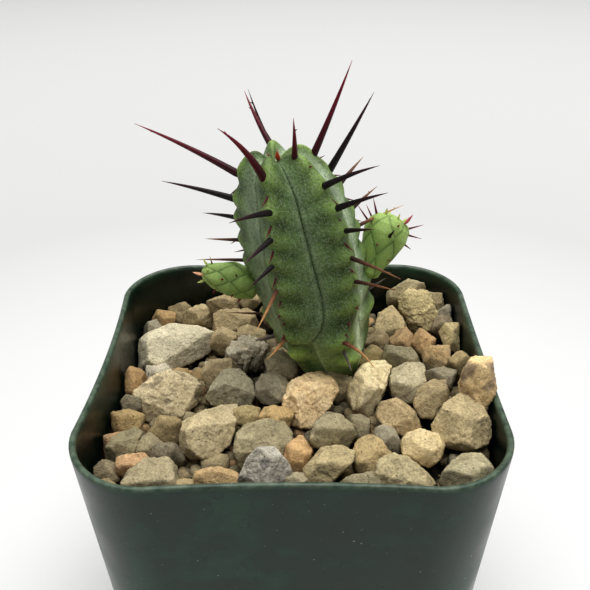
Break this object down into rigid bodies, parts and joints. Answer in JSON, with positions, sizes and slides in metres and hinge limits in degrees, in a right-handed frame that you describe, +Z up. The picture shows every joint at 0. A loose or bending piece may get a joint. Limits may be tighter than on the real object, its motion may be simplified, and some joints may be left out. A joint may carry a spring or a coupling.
{
  "type": "potted euphorbia",
  "caption": "Small spiny ribbed euphorbia with young offsets, growing in a square tapered plastic pot topped with coarse mixed stones.",
  "frame": {"origin": "middle of the pot's flat underside, where it rests", "axes": "+Z up along the pot's height; -Y is the front, the side that the stem's two front ribs face; +X is to the right seen from the front"},
  "size_m": [0.0636, 0.0636, 0.1067],
  "materials": {
    "pot": "satin dark green moulded plastic, scuffed along the rim",
    "soil": "dark, loose and matte",
    "roots": "pale and matte",
    "gravel": "mixed fine gravel, matte",
    "stone_tan": "matte, rough, finely speckled",
    "stone_orange": "matte, rough, finely speckled",
    "stone_grey": "matte, rough, finely speckled",
    "stem": "waxy green skin with a fine pale speckle",
    "offset": "fresh yellow-green skin",
    "spine_red": "smooth, dark red",
    "spine_dark": "smooth, nearly black",
    "spine_brown": "dry, dark at the base and tan towards the tip",
    "leaf": "small, fleshy, red to yellow-green"
  },
  "bodies": {
    "root": {"gravel_bed": "gravel", "leaf_crown": "leaf", "leaf_offset_left": "leaf", "leaf_offset_right": "leaf", "offset_left": "offset", "offset_right": "offset", "pot": "pot", "roots": "roots", "soil": "soil", "spine_back_1": "spine_red", "spine_back_2": "spine_dark", "spine_front_left_1": "spine_red", "spine_front_left_2": "spine_dark", "spine_front_left_3": "spine_dark", "spine_front_left_4": "spine_brown", "spine_front_left_5": "spine_brown", "spine_front_right_1": "spine_red", "spine_front_right_2": "spine_dark", "spine_front_right_3": "spine_dark", "spine_front_right_4": "spine_dark", "spine_front_right_5": "spine_brown", "spine_front_right_6": "spine_brown", "spine_front_right_7": "spine_brown", "spine_left_1": "spine_red", "spine_left_2": "spine_dark", "spine_left_3": "spine_brown", "spine_left_4": "spine_brown", "spine_left_5": "spine_brown", "spine_left_6": "spine_brown", "spine_left_7": "spine_brown", "spine_right_1": "spine_red", "spine_right_2": "spine_dark", "spine_right_3": "spine_dark", "spine_right_4": "spine_brown", "spine_right_5": "spine_brown", "stem": "stem", "stone_back_long": "stone_tan", "stone_back_right_lump": "stone_tan", "stone_brown_block": "stone_tan", "stone_brown_long": "stone_tan", "stone_corner_grey": "stone_grey", "stone_dark_grey": "stone_grey", "stone_front_beige": "stone_tan", "stone_front_left_ridge": "stone_tan", "stone_front_left_wedge": "stone_tan", "stone_grey_green": "stone_grey", "stone_grey_speckled": "stone_grey", "stone_left_slab": "stone_tan", "stone_left_tan": "stone_tan", "stone_light_orange": "stone_orange", "stone_middle_grey": "stone_grey", "stone_olive": "stone_tan", "stone_orange_long": "stone_orange", "stone_pale_wedge": "stone_tan", "stone_purple_grey": "stone_grey", "stone_rhombus": "stone_tan", "stone_right_oblong": "stone_tan", "stone_round": "stone_tan", "stone_tall_ochre": "stone_tan", "stone_yellow_long": "stone_tan"}
  },
  "joints": []
}
